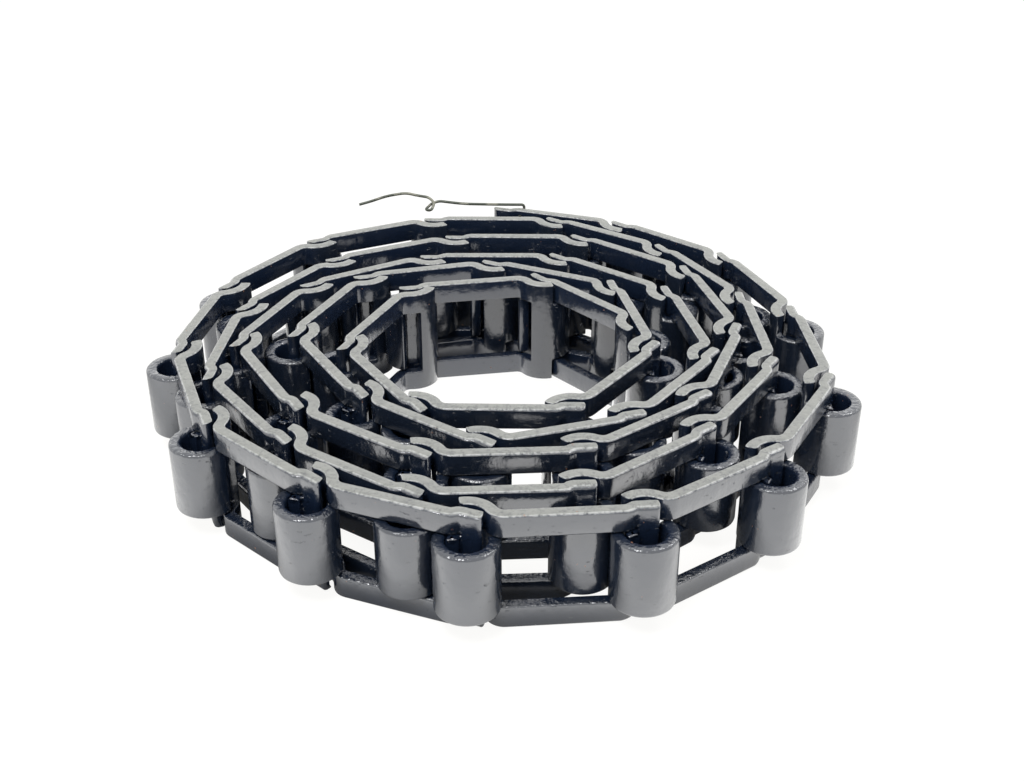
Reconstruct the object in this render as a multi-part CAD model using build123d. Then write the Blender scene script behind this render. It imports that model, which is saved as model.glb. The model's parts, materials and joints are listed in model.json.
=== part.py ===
"""Coil of pressed-steel detachable conveyor chain, tied with a twist of wire.

Every link is one stamping of steel strip: two sidebars round an open window,
an end bar at the front and a hook at the back. The hook passes up through the
window of the link ahead of it in the coil and curls round that link's end bar,
so each joint turns about the middle of the hook without a pin.

Link frame: origin at the middle of its own hook, +X along the link towards its
end bar, +Y to the inside of the coil, Z across the strip. The coil lies on its
side, so Z is also up. Millimetres and degrees.
"""
from build123d import *
import os
from math import asin, atan, cos, degrees, hypot, radians, sin, sqrt, tan
import numpy as np

# ---- the chain -------------------------------------------------------------
LINKS = 52              # links in the coil
PITCH = 58.75           # middle of one hook to middle of the next
STRIP = 4.4             # thickness of the steel strip
WIDTH = 45.5            # over both sidebars
SIDEBAR = 8.7           # width of one sidebar
HOOK_BORE = 14.2        # inside diameter of the hook

# ---- the back of a link: root and hook ---------------------------------------
PLATE_SET = 0.8         # sidebars lie this far inside the line of the joints
ROOT_REACH = 13.0       # where the sidebars come straight, ahead of the hook's middle
ROOT_TIP = 101.0        # angle at which the full-width root ends
TIP_BEVEL = 8.0         # how much sooner its hollow side ends
WINDOW_START = 50.0     # angle on the root where the window begins
HOOK_END = 372.0        # angle at which the hook's tongue ends
TONGUE_PLAY = 0.3       # tongue to each side of the window it passes through

# ---- the front of a link: end bar ----------------------------------------------
BAR_SET = 1.8           # end bar is pressed this far inwards from the sidebars
SET_LENGTH = 4.6        # length of that offset
BAR_BACK = 2.4          # from the offset to the middle of the next hook
BAR_FRONT = 4.8         # end bar runs on past the middle of the next hook
FOLD = 2.6              # mean radius of the fold between the end bar and its lip
LIP_END = 212.0         # angle at which the lip ends inside the hook
HINGE_PLAY = 0.3        # lip to the bore of the hook

# ---- the coil --------------------------------------------------------------------
BEND_MOST = 56.5        # a joint folds no further than this
FIRST_BEND = 57.0       # the free inner link, folded right up to its stop
ROOT_ROOM = 40.0        # arc kept free for the next root, beyond the fold itself
LAYER_GAP = 0.4         # between one turn and the turn it lies on
FREE_END_HEADING = 161.5    # direction in which the outer end bar points

# ---- the tie wire ------------------------------------------------------------------
WIRE = 1.3              # diameter
WIRE_PLAY = 0.45        # wire to the steel that it passes round
TIE_BACK = 1.75         # from the hooked wire to where the sidebar is set down
TIE_TAIL = 3.0          # hook of the wire ends this far below its run
TIE_ARCH = 6.2          # rise of the arch over the run
TIE_TURN = 1.3          # mean radius of its bends round the sidebar
TIE_CORNERS = 3         # number of those bends

# ---- sizes that follow ----------------------------------------------------------------
half = STRIP / 2
hook_mid = HOOK_BORE / 2 + half
root_depth = hook_mid - PLATE_SET
root_turn = 2 * degrees(atan(root_depth / ROOT_REACH))
knee_mid = ROOT_REACH / sin(radians(root_turn)) - hook_mid
set_turn = 2 * degrees(atan(BAR_SET / SET_LENGTH))
set_mid = SET_LENGTH / (2 * sin(radians(set_turn)))
set_front = PITCH - BAR_BACK
set_back = set_front - SET_LENGTH
bar_line = PLATE_SET + BAR_SET
lip_mid = HOOK_BORE / 2 - HINGE_PLAY - half
fold_back = sqrt((lip_mid - FOLD) ** 2 - (bar_line - FOLD) ** 2)
fold_angle = 180 - degrees(asin((bar_line - FOLD) / (lip_mid - FOLD)))
tie_at = set_back - TIE_BACK
sample = STRIP / 4      # spacing of the points that feel for the turn inside
window_low = SIDEBAR
window_high = WIDTH - SIDEBAR


def sidebar_path():
    """Middle line of a sidebar, from the tip of the root to the front of the end bar."""
    return Curve() + [
        CenterArc((0, 0), hook_mid, ROOT_TIP, 90 - root_turn - ROOT_TIP),
        CenterArc((ROOT_REACH, PLATE_SET + knee_mid), knee_mid, -90 - root_turn, root_turn),
        Line((ROOT_REACH, PLATE_SET), (set_back, PLATE_SET)),
        CenterArc((set_back, PLATE_SET + set_mid), set_mid, -90, set_turn),
        CenterArc((set_front, bar_line - set_mid), set_mid, 90 + set_turn, -set_turn),
        Line((set_front, bar_line), (PITCH + BAR_FRONT, bar_line)),
    ]


def root_path():
    """Middle line of the cross strip that joins the sidebars at the back."""
    return CenterArc((0, 0), hook_mid, ROOT_TIP, WINDOW_START - ROOT_TIP)


def tongue_path():
    """Middle line of the tongue that curls round the next link's end bar."""
    return CenterArc((0, 0), hook_mid, WINDOW_START, HOOK_END - WINDOW_START)


def bar_path():
    """Middle line of the end bar between the sidebars, with its curled lip."""
    return Curve() + [
        Line((PITCH + BAR_FRONT, bar_line), (PITCH - fold_back, bar_line)),
        CenterArc((PITCH - fold_back, bar_line - FOLD), FOLD, 90, fold_angle - 90),
        CenterArc((PITCH, 0), lip_mid, fold_angle, LIP_END - fold_angle),
    ]


def strip(path, low, high):
    """Strip of the chain's thickness along a path, between two heights."""
    return Pos(0, 0, low) * extrude(trace(path, STRIP), high - low)


def tip_bevel():
    """Wedge that slants the end of the root, so that the joint can fold further."""
    inner, outer = hook_mid - STRIP, hook_mid + half
    corners = [
        (radius * cos(radians(angle)), radius * sin(radians(angle)))
        for radius, angle in (
            (inner, ROOT_TIP - TIP_BEVEL * 1.5),
            (outer, ROOT_TIP),
            (inner, ROOT_TIP + TIP_BEVEL),
        )
    ]
    return make_face(Polyline(*corners, close=True))


def make_link():
    """One pressed link, hook at the origin and end bar at PITCH."""
    sidebar = trace(sidebar_path(), STRIP) - tip_bevel()
    root = trace(root_path(), STRIP) - tip_bevel()
    link = extrude(sidebar, SIDEBAR)
    link += Pos(0, 0, window_high) * extrude(sidebar, SIDEBAR)
    link += Pos(0, 0, window_low) * extrude(root, window_high - window_low)
    link += strip(bar_path(), window_low, window_high)
    link += strip(tongue_path(), window_low + TONGUE_PLAY, window_high - TONGUE_PLAY)
    return link


# ---- winding the coil ---------------------------------------------------------
def points(*paths):
    """Evenly spaced points along paths in the XY plane."""
    found = []
    for edge in (edge for path in paths for edge in path.edges()):
        count = int(edge.length / sample) + 2
        found += [edge @ (k / (count - 1)) for k in range(count)]
    return np.array([(point.X, point.Y) for point in found])


def moved(shape, place):
    """Points of a shape in the link frame, carried to a place in the coil."""
    x, y, heading = place
    c, s = cos(radians(heading)), sin(radians(heading))
    return shape @ np.array([[c, s], [-s, c]]) + (x, y)


def touching(shape, others):
    """True where two sets of middle lines come nearer than steel allows."""
    if not len(others):
        return False
    gaps = ((shape[:, None] - others[None, :]) ** 2).sum(axis=2)
    return gaps.min() < (STRIP + LAYER_GAP) ** 2


def joint_ahead(place):
    """Middle of the hook that holds the end bar of a link."""
    x, y, heading = place
    return x + PITCH * cos(radians(heading)), y + PITCH * sin(radians(heading))


def wind():
    """Places (x, y, heading) of the links, from the free hook inside outwards.

    Each link folds inwards until it lies on the turn inside it, at the height
    of the sidebars or at the height of the hooks, or until its joint is
    folded as far as it goes. Room is kept for the next link's root and hook.
    """
    sidebars = points(sidebar_path())
    middles = points(root_path(), tongue_path(), bar_path())
    next_root = points(CenterArc((PITCH, 0), hook_mid, WINDOW_START, BEND_MOST + ROOT_ROOM))
    next_hook = points(CenterArc((PITCH, 0), hook_mid, 0, 360))
    levels = ((sidebars, next_root), (middles, next_hook))

    def fits(place, laid):
        for own, ahead in levels:
            reach = np.vstack((own, ahead))
            here = moved(reach, place)
            for other in laid[:-1]:
                if hypot(other[0] - place[0], other[1] - place[1]) < 3 * PITCH:
                    if touching(here, moved(own, other)):
                        return False
            if laid and touching(moved(ahead, place), moved(own, laid[-1])):
                return False
        return True

    laid = [(0.0, 0.0, 0.0)]
    while len(laid) < LINKS:
        x, y = joint_ahead(laid[-1])
        heading = laid[-1][2]
        bend = FIRST_BEND if len(laid) == 1 else BEND_MOST
        free = bend
        while not fits((x, y, heading + free), laid):
            free -= 1
        tight = min(free + 1, bend)
        for _ in range(5):
            middle = (free + tight) / 2
            if fits((x, y, heading + middle), laid):
                free = middle
            else:
                tight = middle
        laid.append((x, y, heading + free))

    # Turn the coil so that its free end points the right way, then centre it.
    turn = FREE_END_HEADING - laid[-1][2]
    laid = [(*moved(np.array([place[:2]]), (0, 0, turn))[0], place[2] + turn) for place in laid]
    spread = np.vstack([moved(np.vstack((sidebars, middles)), place) for place in laid])
    x, y = (spread.min(axis=0) + spread.max(axis=0)) / 2
    return [(place[0] - x, place[1] - y, place[2]) for place in laid]


# ---- the tie wire ---------------------------------------------------------------
def tangent_runs(corners):
    """Straight runs joined by tangent arcs: tight ones round the sidebar, then wide."""
    corners = [Vector(*corner) for corner in corners]
    runs = [(b - a).length for a, b in zip(corners, corners[1:])]
    edges = []
    start = corners[0]
    for k in range(1, len(corners) - 1):
        back = (corners[k - 1] - corners[k]).normalized()
        on = (corners[k + 1] - corners[k]).normalized()
        half_angle = radians(back.get_angle(on)) / 2
        radius = 0.45 * min(runs[k - 1], runs[k]) * tan(half_angle)
        if k <= TIE_CORNERS:
            radius = TIE_TURN
        cut = radius / tan(half_angle)
        arc_middle = corners[k] + (back + on).normalized() * (radius / sin(half_angle) - radius)
        edges.append(Line(start, corners[k] + back * cut))
        edges.append(ThreePointArc(corners[k] + back * cut, arc_middle, corners[k] + on * cut))
        start = corners[k] + on * cut
    edges.append(Line(start, corners[-1]))
    return Wire(edges)


def make_tie_wire():
    """Wire hooked round the upper sidebar of the outermost link, in its frame.

    It runs on past the end bar over the top of the coil, with one small loop
    and an arch.
    """
    off = WIRE / 2 + WIRE_PLAY
    inside = PLATE_SET + half + off
    outside = PLATE_SET - half - off
    under = window_high - off
    over = WIDTH + off
    corners = [
        (tie_at, inside, over - TIE_TAIL),
        (tie_at, inside, under),
        (tie_at, outside, under),
        (tie_at, outside, over),
        (tie_at + 10, 1.5, over + 0.3),
        (tie_at + 27, 8.9, over + 1.3),
        (tie_at + 38.2, 11.9, over + 2.5),
        (tie_at + 41.4, 13.7, over + 1.5),
        (tie_at + 42.6, 19.2, over + 0.2),
        (tie_at + 39.5, 18.9, over + 0.2),
        (tie_at + 39.6, 14.3, over + 2.3),
        (tie_at + 43.1, 12.9, over + 4.2),
        (tie_at + 47.8, 14.4, over + TIE_ARCH - 1.3),
        (tie_at + 53.6, 15.9, over + TIE_ARCH),
        (tie_at + 62.8, 18.2, over + TIE_ARCH - 1.9),
        (tie_at + 70.1, 20.6, over + 1.5),
        (tie_at + 75.1, 23, over + 0.2),
    ]
    path = tangent_runs(corners)
    return sweep(Plane(origin=path @ 0, z_dir=path % 0) * Circle(WIRE / 2), path=path)


# ---- the parts --------------------------------------------------------------------
os.makedirs("parts", exist_ok=True)
link = make_link()
places = wind()
for number, place in enumerate(places, 1):
    x, y, heading = map(float, place)
    export_step(Pos(x, y, 0) * Rot(0, 0, heading) * link, f"parts/link_{number:02d}.step")
tail_x, tail_y, tail_heading = map(float, places[-1])
tie_wire = Pos(tail_x, tail_y, 0) * Rot(0, 0, tail_heading) * make_tie_wire()
export_step(tie_wire, "parts/tie_wire.step")
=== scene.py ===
"""Dressing for a coil of pressed-steel detachable conveyor chain.

Each operator makes one group of pieces of the coil, and the panel in the
sidebar lists them in the order in which they are used.
"""
import json
import math

import bmesh
import bpy
import numpy as np
from bpy.props import FloatProperty, FloatVectorProperty, IntProperty, PointerProperty
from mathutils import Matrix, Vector


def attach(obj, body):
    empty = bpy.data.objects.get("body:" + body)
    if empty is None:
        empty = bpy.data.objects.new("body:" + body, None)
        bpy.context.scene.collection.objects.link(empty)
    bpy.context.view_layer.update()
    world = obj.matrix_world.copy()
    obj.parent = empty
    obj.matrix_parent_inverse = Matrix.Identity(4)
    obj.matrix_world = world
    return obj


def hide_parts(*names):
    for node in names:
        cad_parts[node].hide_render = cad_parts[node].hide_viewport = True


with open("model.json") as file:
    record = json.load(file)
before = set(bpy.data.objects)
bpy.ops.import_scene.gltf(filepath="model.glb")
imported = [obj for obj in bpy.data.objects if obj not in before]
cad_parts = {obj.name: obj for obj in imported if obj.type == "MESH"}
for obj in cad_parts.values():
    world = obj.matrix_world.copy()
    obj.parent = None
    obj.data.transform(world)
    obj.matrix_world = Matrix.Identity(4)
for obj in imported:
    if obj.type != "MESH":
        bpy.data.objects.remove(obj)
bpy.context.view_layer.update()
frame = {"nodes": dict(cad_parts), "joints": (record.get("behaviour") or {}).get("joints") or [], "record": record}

bl_info = {
    "name": "Conveyor Chain Coil",
    "version": (1, 0, 0),
    "blender": (4, 5, 0),
    "location": "3D View > Sidebar > Chain",
    "description": "Enamelled links, tie wire and stage for a coil of conveyor chain",
    "category": "Object",
}

LINK_NODES = sorted(name for name in frame["nodes"] if name.startswith("link_"))
PIVOTS = {joint["child"]: Vector(joint["pos_m"]) for joint in frame["joints"]}
BODY_OF = {
    node: body
    for body, nodes in frame["record"]["behaviour"]["bodies"].items()
    for node in nodes
}

SET_LENGTH = 0.0046                 # run of the step down to the end bar
BAR_BACK = 0.0024                   # the end bar's flat starts this far behind the joint
BAR_FRONT = 0.0048                  # and ends this far in front of it
LIP_FOLD = 0.0026                   # radius of the fold between end bar and lip
HINGE_PLAY = 0.0003                 # lip to hook
LIP_REACH = 0.008                   # how far behind the joint the lip gets the painted shade of the hollow side
WINDOW_START = math.radians(50.0)   # angle on the hook where the root ends
HOOK_END = math.radians(372.0)      # angle on the hook where its curl ends
LIP_END = math.radians(212.0)       # angle about the joint where the lip's curl ends
TOUCH = 1e-5                        # heights this near are the same
NEAR_TIP = 0.15                     # edges within this angle of the root's tip belong to it
AT_TIP = 0.01                       # points within this angle of the root's tip are on it
SHARP = math.radians(50.0)          # edges that turn more than this are rounded
SMOOTH = math.radians(35.0)         # edges that turn less than this are shaded smooth
LINKS_IN_PIECE = 9                  # links that are joined to one mesh in the coil
COIL_HOLE = 0.060                   # radius inside the coil within which the floor's mirrored glow is dimmed as painted shade
COIL_EDGE = 0.134                   # radius from which the floor's mirrored glow is full; closer in, down to the hole, it is a painted shadow of the coil
LAMPS = (                           # name, place, size in metres, power in watts
    ("soft_key", (-0.35, -0.6, 1.2), 0.4, 11.0),
    ("soft_fill", (0.7, 0.3, 1.1), 0.4, 6.0),
)


# ---------------------------------------------------------------- settings


def length_setting(name, description, default):
    """A size in metres."""
    return FloatProperty(name=name, description=description, default=default, unit="LENGTH")


def angle_setting(name, description, degrees):
    """An angle, given in degrees."""
    return FloatProperty(name=name, description=description, default=math.radians(degrees), subtype="ANGLE")


def colour_setting(name, description, default):
    """A linear colour."""
    return FloatVectorProperty(
        name=name, description=description, default=default, subtype="COLOR", size=3, min=0, max=1
    )


class ChainLinkSettings(bpy.types.PropertyGroup):
    """Sizes of one pressed link."""

    pitch: length_setting("Pitch", "Hook to hook", 0.05875)
    strip: length_setting("Strip", "Thickness of the steel", 0.0044)
    width: length_setting("Width", "Over both sidebars", 0.0455)
    sidebar: length_setting("Sidebar", "Width of one sidebar", 0.0087)
    hook_bore: length_setting("Hook bore", "Inside diameter of the hook", 0.0142)
    tongue_play: length_setting("Tongue play", "Tongue to the window's sides", 0.0003)
    plate_set: length_setting("Plate set", "Sidebars inside the line of the joints", 0.0008)
    root_reach: length_setting("Root reach", "Where the sidebars come straight", 0.013)
    bar_set: length_setting("Bar set", "End bar inside the sidebars", 0.0018)
    root_tip: angle_setting("Root tip", "Angle at which the full-width root ends", 101.0)
    tip_slant: angle_setting("Tip slant", "How much sooner its hollow side ends", 6.0)
    edge_round: length_setting("Edge round", "Rounding of the sheared edges", 0.0005)
    rim_round: length_setting("Rim round", "Rounding of the rims of the hook", 0.0012)
    lip_round: length_setting("Lip round", "Rounding of the end bar's lip", 0.0019)
    corner_round: length_setting("Corner round", "Rounding of the inner corner of the end bar", 0.0028)
    arc_step: angle_setting("Arc step", "Turn of one facet", 7.0)


class ChainPaintSettings(bpy.types.PropertyGroup):
    """Colours of the enamel and the wire."""

    enamel: colour_setting("Enamel", "Dark enamel", (0.010, 0.014, 0.022))
    # painted shade: a navy copy of the enamel for the hollow side of each link, where less light falls
    hollow: colour_setting("Hollow side", "Enamel on the side that takes little light", (0.008, 0.015, 0.034))
    # partly painted light: the darker grey of the upward-facing sheared edges, far lighter than the enamel because
    # light falls on them from above
    enamel_deep: colour_setting("Deep enamel", "Enamel where it lies thick", (0.055, 0.06, 0.06))
    # partly painted light: thin paint over the sheared edges, made light grey on the upward-facing ones as painted
    # light from above
    burr: colour_setting("Sheared edge", "Thin paint over the sheared edges", (0.165, 0.17, 0.158))
    # painted highlight: light grey along the rounded sheared edges, where lamps would glint
    rim: colour_setting("Rubbed rim", "Rubbed paint along the sheared edges", (0.55, 0.56, 0.56))
    rust: colour_setting("Rust", "Specks where the paint has chipped", (0.30, 0.12, 0.045))
    wire: colour_setting("Wire", "Drawn wire", (0.045, 0.05, 0.042))
    wire_rub: colour_setting("Rubbed wire", "Bright rubs along the wire", (0.12, 0.12, 0.10))
    seed: IntProperty(name="Seed", description="Seed of the shades from link to link", default=7)


class ChainStageSettings(bpy.types.PropertyGroup):
    """Camera and light."""

    eye: FloatVectorProperty(
        name="Eye",
        description="Place of the camera",
        default=(0.0061, -0.4954, 0.3037),
        size=3,
        subtype="TRANSLATION",
    )
    tilt: angle_setting("Tilt", "Camera below the horizon", 29.8)
    lens: FloatProperty(name="Lens", description="Focal length in millimetres", default=49.2)
    gloss: FloatProperty(
        name="Gloss", description="Brightness of the surroundings that the enamel mirrors", default=4.25
    )
    fill: FloatProperty(name="Fill", description="Brightness of the surroundings as light", default=0.8)
    tint: colour_setting("Tint", "White of the surroundings", (1.0, 0.995, 0.98))
    floor: colour_setting("Floor", "Pale floor", (0.9, 0.9, 0.9))


# ---------------------------------------------------------------- shader maths


class Wire:
    """A shader value that can be written in sums."""

    def __init__(self, graph, socket):
        self.graph, self.socket = graph, socket

    def _math(self, operation, *values):
        return self.graph.node("ShaderNodeMath", {"operation": operation}, *values)

    def __add__(self, other):
        return self._math("ADD", self, other)

    def __radd__(self, other):
        return self._math("ADD", other, self)

    def __sub__(self, other):
        return self._math("SUBTRACT", self, other)

    def __rsub__(self, other):
        return self._math("SUBTRACT", other, self)

    def __mul__(self, other):
        return self._math("MULTIPLY", self, other)

    def __rmul__(self, other):
        return self._math("MULTIPLY", other, self)

    def over(self, edge, soft):
        """0 below the edge, 1 above it, with a soft step between."""
        settings = {"interpolation_type": "SMOOTHSTEP"}
        return self.graph.node("ShaderNodeMapRange", settings, self, edge - soft, edge + soft, 0.0, 1.0)


class Graph:
    """Nodes of one material."""

    def __init__(self, name):
        self.material = bpy.data.materials.new(name)
        self.material.use_nodes = True
        self.tree = self.material.node_tree
        self.tree.nodes.clear()

    def node(self, kind, settings=None, *values, out=0, **named):
        """A node with its settings made first, then its sockets by place and by name."""
        node = self.tree.nodes.new(kind)
        for key, value in (settings or {}).items():
            setattr(node, key, value)
        for key, value in list(enumerate(values)) + list(named.items()):
            socket = node.inputs[key if isinstance(key, int) else key.replace("_", " ")]
            if isinstance(value, Wire):
                self.tree.links.new(value.socket, socket)
            elif value is not None:
                socket.default_value = value
        return Wire(self, node.outputs[out] if len(node.outputs) else None)

    def noise(self, where, scale, detail=4.0, roughness=0.55):
        """Soft random values between 0 and 1."""
        return self.node(
            "ShaderNodeTexNoise", None, Vector=where, Scale=scale, Detail=detail, Roughness=roughness
        )

    def mix(self, factor, one, other):
        """A colour between two colours."""
        node = self.tree.nodes.new("ShaderNodeMix")
        node.data_type = "RGBA"
        for index, value in ((0, factor), (6, one), (7, other)):
            if isinstance(value, Wire):
                self.tree.links.new(value.socket, node.inputs[index])
            else:
                node.inputs[index].default_value = (*value, 1.0) if index else value
        return Wire(self, node.outputs[2])

    def finish(self, **sockets):
        """The surface that the material ends in."""
        shader = self.node("ShaderNodeBsdfPrincipled", None, **sockets)
        self.node("ShaderNodeOutputMaterial", None, shader)
        return self.material


def enamel_material():
    """Dark glossy enamel, thin and speckled on the sheared edges, with painted light and shade: a navy shaded copy
    on the hollow side, a lighter grey on the upward-facing sheared edges and a painted highlight along their
    rounded edges.
    """
    paint = bpy.context.scene.chain_paint
    g = Graph("dark_enamel")
    where = g.node("ShaderNodeTexCoord", out=3)
    normal = g.node("ShaderNodeNewGeometry", out=1)
    up = g.node("ShaderNodeSeparateXYZ", None, normal, out=2)
    shade = g.node("ShaderNodeAttribute", {"attribute_name": "link_shade"}, out=2)
    # share of painted light: 1 on the lit side of the strip, 0 on the shaded side
    side = g.node("ShaderNodeAttribute", {"attribute_name": "bright_side"}, out=2)
    broad = g.noise(where, 38.0, 3.0)
    fine = g.noise(where, 900.0, 5.0, 0.65)
    grain = g.noise(where, 2600.0, 3.0, 0.6)
    waves = g.noise(where, 130.0, 3.0, 0.5)
    upright = g.node("ShaderNodeMapping", None, where, Scale=(240.0, 240.0, 60.0))
    runs = g.noise(upright, 1.0, 3.0, 0.5)
    level = g.node("ShaderNodeMapping", None, where, Scale=(300.0, 300.0, 1100.0))
    dashes = g.noise(level, 1.0, 2.0, 0.5)
    sheared = g.node("ShaderNodeAttribute", {"attribute_name": "sheared"}, out=2)
    # the upward-facing sheared edges only; their lighter grey is partly painted light
    edge = up.over(0.75, 0.15) * sheared
    beads = g.noise(where, 520.0, 2.0, 0.5)
    bare = (beads * 0.35 + fine * 0.4 + grain * 0.25 + shade * 0.05).over(0.47, 0.08)
    bare = bare * (0.65 + waves.over(0.45, 0.12) * 0.35)
    # patches that break up the painted highlight along the rounded sheared edges
    rubs_and_glints = (beads * 0.5 + fine * 0.5).over(0.48, 0.12)
    # painted highlight: the rounded band between the upper face and the side of the sheared edges, broken into
    # patches
    rim = up.over(0.3, 0.15) * (1 - up.over(0.93, 0.05)) * sheared * rubs_and_glints
    chips = g.noise(where, 420.0, 2.0).over(0.755, 0.012) * grain.over(0.5, 0.1)
    drips = dashes.over(0.72, 0.03) * (1 - edge)
    lumps = up.over(0.4, 0.3) * (1 - sheared)
    # painted light and shade: the lit enamel on the rolled side, the navy shaded copy on the hollow side, broken
    # up by broad noise
    body = g.mix(side * 0.5 + broad * 0.5, paint.hollow, paint.enamel)
    thin_paint_and_top_light = g.mix(bare, paint.enamel_deep, paint.burr)
    # thin paint on the upward-facing sheared edges, partly painted light
    colour = g.mix(edge, body, thin_paint_and_top_light)
    # the painted highlight is mixed in here
    colour = g.mix(rim * 0.45, colour, paint.rim)
    colour = g.mix(chips * 0.9, colour, paint.rust)
    rough = 0.11 + broad * 0.1 + edge * 0.22 + bare * edge * 0.15 + chips * 0.4
    height = runs * 0.16 + waves * 0.3 + broad * 0.6 - drips * 0.25 + fine * 0.04
    height = height + beads * (0.45 * lumps + 0.15 * edge)
    bump = g.node("ShaderNodeBump", None, Strength=0.8, Distance=0.0014, Height=height)
    return g.finish(
        Base_Color=colour,
        Metallic=0.0,
        Roughness=rough,
        Specular_IOR_Level=0.7,
        Normal=bump,
    )


def wire_material():
    """Dull drawn wire with bright rubs."""
    paint = bpy.context.scene.chain_paint
    g = Graph("drawn_wire")
    where = g.node("ShaderNodeTexCoord", out=3)
    rubs_and_glints = g.noise(where, 110.0, 3.0)
    colour = g.mix(rubs_and_glints.over(0.56, 0.06), paint.wire, paint.wire_rub)
    bump = g.node("ShaderNodeBump", None, Strength=0.2, Distance=0.0002, Height=g.noise(where, 1800.0))
    return g.finish(Base_Color=colour, Metallic=0.85, Roughness=0.3 + rubs_and_glints * 0.25, Normal=bump)


# ---------------------------------------------------------------- the link


def arc(middle, radius, start, turn, step):
    """Points along an arc, ends included."""
    count = max(2, int(abs(turn) / step + 0.999))
    angles = [start + turn * k / count for k in range(count + 1)]
    return [(middle[0] + radius * math.cos(a), middle[1] + radius * math.sin(a)) for a in angles]


def stretch(start, end, count):
    """Evenly spaced points on a straight line, ends included."""
    return [
        (start[0] + (end[0] - start[0]) * k / count, start[1] + (end[1] - start[1]) * k / count)
        for k in range(count + 1)
    ]


def link_stations(size):
    """Middle line of the strip in the link's own frame, as named stretches."""
    half = size.strip / 2
    hook = size.hook_bore / 2 + half
    step = size.arc_step
    plate = size.plate_set
    root_turn = 2 * math.atan((hook - plate) / size.root_reach)
    knee = size.root_reach / math.sin(root_turn) - hook
    set_turn = 2 * math.atan(size.bar_set / SET_LENGTH)
    set_mid = SET_LENGTH / (2 * math.sin(set_turn))
    front = size.pitch - BAR_BACK
    back = front - SET_LENGTH
    bar = plate + size.bar_set
    lip = hook - size.strip - HINGE_PLAY
    fold_back = math.sqrt((lip - LIP_FOLD) ** 2 - (bar - LIP_FOLD) ** 2)
    fold_angle = math.pi - math.asin((bar - LIP_FOLD) / (lip - LIP_FOLD))
    fold_start = (size.pitch - fold_back, bar)
    tongue = arc((0, 0), hook, HOOK_END, size.root_tip - HOOK_END, step)
    root = arc((0, 0), hook, size.root_tip, WINDOW_START - size.root_tip, step)
    sidebar = arc((0, 0), hook, WINDOW_START, math.pi / 2 - root_turn - WINDOW_START, step)
    sidebar += arc((size.root_reach, plate + knee), knee, -math.pi / 2 - root_turn, root_turn, step * 1.5)[1:]
    sidebar += stretch((size.root_reach, plate), (back, plate), 4)[1:]
    sidebar += arc((back, plate + set_mid), set_mid, -math.pi / 2, set_turn, step)[1:]
    sidebar += arc((front, bar - set_mid), set_mid, math.pi / 2 + set_turn, -set_turn, step)[1:]
    sidebar.append(fold_start)
    end = stretch(fold_start, (size.pitch + BAR_FRONT, bar), 2)
    curl = arc((fold_start[0], bar - LIP_FOLD), LIP_FOLD, math.pi / 2, fold_angle - math.pi / 2, step * 2)
    curl += arc((size.pitch, 0), lip, fold_angle, LIP_END - fold_angle, step * 2)[1:]
    return {"tongue": tongue, "root": root, "sidebar": sidebar, "end": end, "curl": curl}


def settle(piece):
    """Turn a piece's modifiers into plain mesh."""
    bpy.context.view_layer.update()
    shape = bpy.data.meshes.new_from_object(piece.evaluated_get(bpy.context.evaluated_depsgraph_get()))
    shape.name = piece.name
    piece.modifiers.clear()
    piece.data = shape


def turned(point, angle):
    """A point in plan, turned about the hook's middle."""
    c, s = math.cos(angle), math.sin(angle)
    return (point[0] * c - point[1] * s, point[0] * s + point[1] * c)


def bright_side(size, point):
    """1 on the smooth rolled side of the strip that takes the light and gets the lit enamel, 0 on its hollow side,
    which gets the painted shade.
    """
    hook = (size.hook_bore + size.strip) / 2
    between = abs(point.z - size.width / 2) < size.width / 2 - size.sidebar
    if point.y > -hook and point.x > size.pitch - LIP_REACH and between:
        return 0.0
    round_side = (math.hypot(point.x, point.y) - hook) / size.strip + 0.5
    rise = min(max((point.x - size.pitch + BAR_BACK + SET_LENGTH) / SET_LENGTH, 0.0), 1.0) * size.bar_set
    flat_side = 0.5 - (point.y - size.plate_set - rise) / size.strip
    blend = min(max((point.x - size.root_reach * 0.55) / (size.root_reach * 0.35), 0.0), 1.0)
    return min(max(round_side * (1 - blend) + flat_side * blend, 0.0), 1.0)


def weigh_edges(size, mesh):
    """Share of the widest rounding that each sharp edge of the blank gets."""
    low, high = size.sidebar, size.width - size.sidebar
    hook = (size.hook_bore + size.strip) / 2
    joint = Vector((size.pitch, 0.0))
    edges = bmesh.new()
    edges.from_mesh(mesh)
    weight = edges.edges.layers.float.new("bevel_weight_edge")
    for edge in edges.edges:
        if len(edge.link_faces) != 2 or edge.calc_face_angle() < SHARP:
            continue
        a, b = (v.co for v in edge.verts)
        middle = (a + b) / 2
        reach = middle.xy.length
        turn = math.atan2(middle.y, middle.x)
        share = size.edge_round / size.corner_round
        if abs(a.z - b.z) > TOUCH:
            if middle.x > size.pitch + BAR_FRONT - TOUCH * 10:
                share = 1.0 if middle.y > size.plate_set + size.bar_set else 0.5
            elif abs(turn - size.root_tip) < NEAR_TIP and reach < hook * 1.5:
                share = 0.5
        elif reach < hook + size.strip and low + TOUCH < middle.z < high - TOUCH:
            share = size.rim_round / size.corner_round
        elif (middle.xy - joint).length < hook and middle.y < size.bar_set:
            share = size.lip_round / size.corner_round
        edge[weight] = share
    edges.to_mesh(mesh)
    edges.free()


def store(mesh, name, values):
    """A number for every point of a mesh, under a name."""
    mesh.attributes.new(name, "FLOAT", "POINT").data.foreach_set("value", values)


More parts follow.
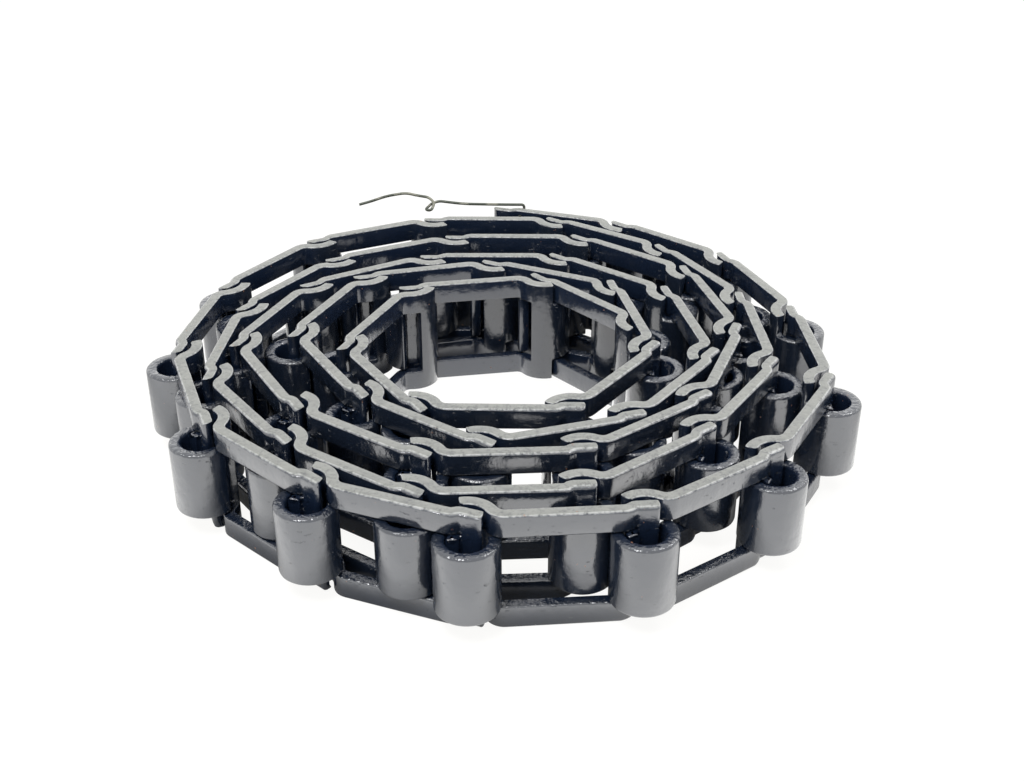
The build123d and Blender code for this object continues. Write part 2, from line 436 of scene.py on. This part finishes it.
def strip_sheet(size):
    """Middle sheet of the link's strip, without thickness."""
    path = link_stations(size)
    low, high = size.sidebar, size.width - size.sidebar
    levels = [0.0, low, low + size.tongue_play, high - size.tongue_play, high, size.width]
    mesh = bmesh.new()
    made = {}

    def corner(point, level):
        key = (round(point[0] * 1e6), round(point[1] * 1e6), level)
        if key not in made:
            made[key] = mesh.verts.new((point[0], point[1], levels[level]))
        return made[key]

    def ribbon(points, rows):
        for a, b in zip(points, points[1:]):
            for row in rows:
                mesh.faces.new([corner(a, row), corner(b, row), corner(b, row + 1), corner(a, row + 1)])

    ribbon(path["tongue"], (2,))
    ribbon(path["root"], range(5))
    ribbon(path["sidebar"], (0, 4))
    ribbon(path["end"], range(5))
    ribbon(list(reversed(path["curl"])), (1, 2, 3))
    bmesh.ops.recalc_face_normals(mesh, faces=mesh.faces)
    data = bpy.data.meshes.new("link_blank")
    mesh.to_mesh(data)
    mesh.free()
    return data


def thicken(size, blank):
    """Give the sheet the strip's thickness."""
    wall = blank.modifiers.new("wall", "SOLIDIFY")
    wall.thickness = size.strip
    wall.offset = 0.0
    wall.use_even_offset = True
    settle(blank)


def slant_tips(size, mesh):
    """Let the root's tips end sooner on their hollow side."""
    low, high = size.sidebar, size.width - size.sidebar
    hollow = size.hook_bore / 2 + size.strip * 0.4
    for point in (v.co for v in mesh.vertices):
        if low + TOUCH / 10 <= point.z <= high - TOUCH / 10 or point.xy.length >= hollow:
            continue
        if abs(math.atan2(point.y, point.x) - size.root_tip) < AT_TIP:
            point.xy = turned(point.xy, -size.tip_slant)


def round_edges(size, blank):
    """Round the sharp edges by their own shares of the widest rounding."""
    weigh_edges(size, blank.data)
    rounding = blank.modifiers.new("rounding", "BEVEL")
    rounding.width = size.corner_round
    rounding.segments = 3
    rounding.limit_method = "WEIGHT"
    rounding.use_clamp_overlap = False
    settle(blank)
    for face in blank.data.polygons:
        face.use_smooth = True
    blank.data.set_sharp_from_angle(angle=SMOOTH)


def link_blank():
    """One link as a strip of even thickness with rounded edges."""
    size = bpy.context.scene.chain_link
    blank = bpy.data.objects.new("link_blank", strip_sheet(size))
    bpy.context.collection.objects.link(blank)
    thicken(size, blank)
    slant_tips(size, blank.data)
    round_edges(size, blank)
    points = [v.co for v in blank.data.vertices]
    outer = size.width / 2 - size.edge_round * 1.1
    # painted light and shade: which side of the strip gets the lit and which the shaded enamel
    store(blank.data, "bright_side", [bright_side(size, point) for point in points])
    store(blank.data, "sheared", [float(abs(point.z - size.width / 2) > outer) for point in points])
    return blank


# ---------------------------------------------------------------- places of the links


def number_of(node):
    """A link's number, counted from the inner end."""
    return int(node.removeprefix("link_"))


def mass_line(node):
    """Centre of a node's mass in plan, and the direction of its long axis."""
    mesh = frame["nodes"][node].data
    mesh.calc_loop_triangles()
    points = np.array([v.co for v in mesh.vertices], float)
    corners = points[np.array([t.vertices for t in mesh.loop_triangles])]
    around = points.mean(axis=0)
    corners = corners - around
    volume = np.einsum("ij,ij->i", corners[:, 0], np.cross(corners[:, 1], corners[:, 2])) / 6
    sums = corners.sum(axis=1)
    total = volume.sum()
    centre = (volume[:, None] * sums).sum(axis=0) / 4 / total
    second = np.einsum("i,ij,ik->jk", volume, sums, sums)
    second += np.einsum("i,iaj,iak->jk", volume, corners, corners)
    second = second / 20 / total - np.outer(centre, centre)
    along = np.linalg.eigh(second[:2, :2])[1][:, 1]
    reach = (corners[:, :, :2] - centre[:2]) @ along
    if reach.max() < -reach.min():
        along = -along
    return (centre + around)[:2], math.atan2(along[1], along[0])


def link_places():
    """Hook position and heading of every link, measured on the solids.

    The first free link shows how its mass lies between two known joints, and
    every other link is the same stamping.
    """
    first = "free_link_48"
    start, end = PIVOTS[first], PIVOTS["free_link_49"]
    heading = math.atan2(end.y - start.y, end.x - start.x)
    centre, along = mass_line("link_48")
    skew = along - heading
    c, s = math.cos(-heading), math.sin(-heading)
    off = centre - np.array(start[:2])
    off = np.array([off[0] * c - off[1] * s, off[0] * s + off[1] * c])
    places = {}
    for node in LINK_NODES:
        centre, along = mass_line(node)
        turn = along - skew
        c, s = math.cos(turn), math.sin(turn)
        places[node] = (centre[0] - off[0] * c + off[1] * s, centre[1] - off[0] * s - off[1] * c, turn)
    return places


# ---------------------------------------------------------------- geometry nodes


def winding_tree():
    """Node group that sets one link on every point, turned to its heading."""
    tree = bpy.data.node_groups.new("Wind Links", "GeometryNodeTree")
    face = tree.interface
    face.new_socket("Geometry", in_out="INPUT", socket_type="NodeSocketGeometry")
    face.new_socket("Link", in_out="INPUT", socket_type="NodeSocketObject")
    face.new_socket("Finish", in_out="INPUT", socket_type="NodeSocketMaterial")
    face.new_socket("Seed", in_out="INPUT", socket_type="NodeSocketInt")
    face.new_socket("Geometry", in_out="OUTPUT", socket_type="NodeSocketGeometry")

    def add(kind, settings=None, **links):
        node = tree.nodes.new(kind)
        for key, value in (settings or {}).items():
            setattr(node, key, value)
        for key, value in links.items():
            socket = node.inputs[key.replace("_", " ")]
            if isinstance(value, bpy.types.NodeSocket):
                tree.links.new(value, socket)
            else:
                socket.default_value = value
        return node

    given = add("NodeGroupInput")
    heading = add("GeometryNodeInputNamedAttribute", {"data_type": "FLOAT"}, Name="heading")
    turn = add("ShaderNodeCombineXYZ", None, Z=heading.outputs[0])
    rotation = add("FunctionNodeEulerToRotation", None, Euler=turn.outputs[0])
    link = add("GeometryNodeObjectInfo", {"transform_space": "ORIGINAL"}, Object=given.outputs["Link"])
    shade = add("FunctionNodeRandomValue", {"data_type": "FLOAT"}, Seed=given.outputs["Seed"])
    shaded = add(
        "GeometryNodeStoreNamedAttribute",
        {"data_type": "FLOAT", "domain": "POINT"},
        Geometry=given.outputs["Geometry"],
        Name="link_shade",
    )
    tree.links.new(shade.outputs[1], next(s for s in shaded.inputs if s.name == "Value" and s.enabled))
    laid = add(
        "GeometryNodeInstanceOnPoints",
        None,
        Points=shaded.outputs[0],
        Instance=link.outputs["Geometry"],
        Rotation=rotation.outputs[0],
    )
    real = add("GeometryNodeRealizeInstances", None, Geometry=laid.outputs[0])
    painted = add("GeometryNodeSetMaterial", None, Geometry=real.outputs[0], Material=given.outputs["Finish"])
    done = add("NodeGroupOutput")
    tree.links.new(painted.outputs[0], done.inputs[0])
    return tree


def lay_links(name, nodes, places, tree, blank, finish):
    """One mesh of the links of a body, made by the node group."""
    data = bpy.data.meshes.new(name)
    data.from_pydata([(places[node][0], places[node][1], 0.0) for node in nodes], [], [])
    store(data, "heading", [places[node][2] for node in nodes])
    piece = bpy.data.objects.new(name, data)
    bpy.context.collection.objects.link(piece)
    winding = piece.modifiers.new("winding", "NODES")
    winding.node_group = tree
    seed = bpy.context.scene.chain_paint.seed + len(nodes) + number_of(nodes[0])
    values = {"Link": blank, "Finish": finish, "Seed": seed}
    for item in tree.interface.items_tree:
        if item.item_type == "SOCKET" and item.in_out == "INPUT" and item.name in values:
            winding[item.identifier] = values[item.name]
    settle(piece)
    return piece


# ---------------------------------------------------------------- stage


def floor_material(stage):
    """White to the camera and pale to the lamps; in its mirrored image it glows brighter around the coil, with
    painted shadow under and near the coil, painted shade in its hole and painted light that is stronger toward the
    front.
    """
    g = Graph("pale_floor")
    where = g.node("ShaderNodeTexCoord", out=3)
    away = g.node("ShaderNodeVectorMath", {"operation": "LENGTH"}, where, out=1)
    seen = g.node("ShaderNodeLightPath", out=0)
    mirrored = g.node("ShaderNodeLightPath", out=3)
    bounce = g.node("ShaderNodeBsdfDiffuse", None, Color=(*stage.floor, 1.0))
    front = g.node("ShaderNodeSeparateXYZ", None, where, out=1)
    ray = g.node("ShaderNodeNewGeometry", out=4)
    came_from = g.node("ShaderNodeSeparateXYZ", None, ray, out=1)
    # painted light and shadow in the floor's mirrored glow: dark under and near the coil, dimmed in its hole,
    # brighter in front of the coil and for rays that come from the front
    painted_front_light = (1 - 0.5 * front.over(-0.04, 0.08)) * (0.55 + 0.45 * came_from.over(-0.25, 0.6))
    painted_floor_shadow_and_light = (1 - away.over(COIL_HOLE, 0.01)) * 0.62 + away.over(COIL_EDGE, 0.02) * painted_front_light
    bright = seen * 1.05 + (1 - seen) * stage.gloss * (0.03 + 0.97 * painted_floor_shadow_and_light)
    glow = g.node("ShaderNodeEmission", None, Color=(*stage.tint, 1.0), Strength=bright)
    either = g.node("ShaderNodeMath", {"operation": "MAXIMUM"}, seen * 0.88, mirrored)
    mixed = g.node("ShaderNodeMixShader", None, either, bounce, glow)
    g.node("ShaderNodeOutputMaterial", None, mixed)
    return g.material


def lay_floor(context):
    """Pale floor under the coil."""
    bpy.ops.mesh.primitive_plane_add(size=12.0)
    floor = context.object
    floor.name = "floor"
    floor.data.materials.append(floor_material(context.scene.chain_stage))


def light_room(context):
    """Pale room, brighter where the enamel mirrors it, and two soft lamps."""
    stage = context.scene.chain_stage
    world = bpy.data.worlds.new("studio")
    context.scene.world = world
    world.use_nodes = True
    tree = world.node_tree
    background = tree.nodes["Background"]
    background.inputs[0].default_value = (*stage.tint, 1.0)
    rays = tree.nodes.new("ShaderNodeLightPath")
    strength = tree.nodes.new("ShaderNodeMapRange")
    strength.inputs["To Min"].default_value = stage.fill
    strength.inputs["To Max"].default_value = stage.gloss * 0.6
    tree.links.new(rays.outputs["Is Glossy Ray"], strength.inputs["Value"])
    tree.links.new(strength.outputs["Result"], background.inputs[1])

    for name, place, size, power in LAMPS:
        data = bpy.data.lights.new(name, "AREA")
        data.size = size
        data.energy = power
        lamp = bpy.data.objects.new(name, data)
        lamp.location = place
        lamp.rotation_euler = (-Vector(place)).to_track_quat("-Z", "Y").to_euler()
        context.collection.objects.link(lamp)


def set_camera(context):
    """Camera in front of the coil, looking down at it."""
    stage = context.scene.chain_stage
    data = bpy.data.cameras.new("camera")
    camera = bpy.data.objects.new("camera", data)
    context.collection.objects.link(camera)
    camera.location = stage.eye
    camera.rotation_euler = (math.pi / 2 - stage.tilt, 0.0, 0.0)
    data.lens = stage.lens
    data.clip_start = 0.01
    context.scene.camera = camera


# ---------------------------------------------------------------- operators


class CHAIN_OT_links(bpy.types.Operator):
    """Set every pressed link in its place in the coil"""

    bl_idname = "chain.links"
    bl_label = "Links"

    def execute(self, context):
        finish = enamel_material()
        blank = link_blank()
        tree = winding_tree()
        places = link_places()
        groups = {}
        for node in LINK_NODES:
            body = BODY_OF[node]
            share = (number_of(node) - 1) // LINKS_IN_PIECE if body == "coil" else 0
            groups.setdefault((body, share), []).append(node)
        for (body, share), nodes in groups.items():
            name = f"{nodes[0]}_to_{nodes[-1]}" if len(nodes) > 1 else f"{nodes[0]}_painted"
            piece = lay_links(name, nodes, places, tree, blank, finish)
            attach(piece, body)
            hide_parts(*nodes)
        bpy.data.objects.remove(blank)
        return {"FINISHED"}


class CHAIN_OT_tie_wire(bpy.types.Operator):
    """Give the tie wire its drawn finish"""

    bl_idname = "chain.tie_wire"
    bl_label = "Tie wire"

    def execute(self, context):
        wire = frame["nodes"]["tie_wire"]
        finish = wire_material()
        for slot in wire.material_slots:
            slot.material = finish
        return {"FINISHED"}


class CHAIN_OT_stage(bpy.types.Operator):
    """Make the pale floor, the soft lights and the camera"""

    bl_idname = "chain.stage"
    bl_label = "Stage"

    def execute(self, context):
        lay_floor(context)
        light_room(context)
        set_camera(context)
        context.scene.view_settings.view_transform = "Standard"
        return {"FINISHED"}


class CHAIN_PT_panel(bpy.types.Panel):
    """Operators of the chain coil"""

    bl_idname = "CHAIN_PT_panel"
    bl_label = "Chain coil"
    bl_space_type = "VIEW_3D"
    bl_region_type = "UI"
    bl_category = "Chain"

    def draw(self, context):
        for operator in (CHAIN_OT_links, CHAIN_OT_tie_wire, CHAIN_OT_stage):
            self.layout.operator(operator.bl_idname)


CLASSES = (
    ChainLinkSettings,
    ChainPaintSettings,
    ChainStageSettings,
    CHAIN_OT_links,
    CHAIN_OT_tie_wire,
    CHAIN_OT_stage,
    CHAIN_PT_panel,
)


def register():
    for item in CLASSES:
        bpy.utils.register_class(item)
    bpy.types.Scene.chain_link = PointerProperty(type=ChainLinkSettings)
    bpy.types.Scene.chain_paint = PointerProperty(type=ChainPaintSettings)
    bpy.types.Scene.chain_stage = PointerProperty(type=ChainStageSettings)


def unregister():
    del bpy.types.Scene.chain_stage
    del bpy.types.Scene.chain_paint
    del bpy.types.Scene.chain_link
    for item in reversed(CLASSES):
        bpy.utils.unregister_class(item)


def main():
    register()
    bpy.ops.chain.links()
    bpy.ops.chain.tie_wire()
    bpy.ops.chain.stage()


if __name__ == "__main__":
    main()
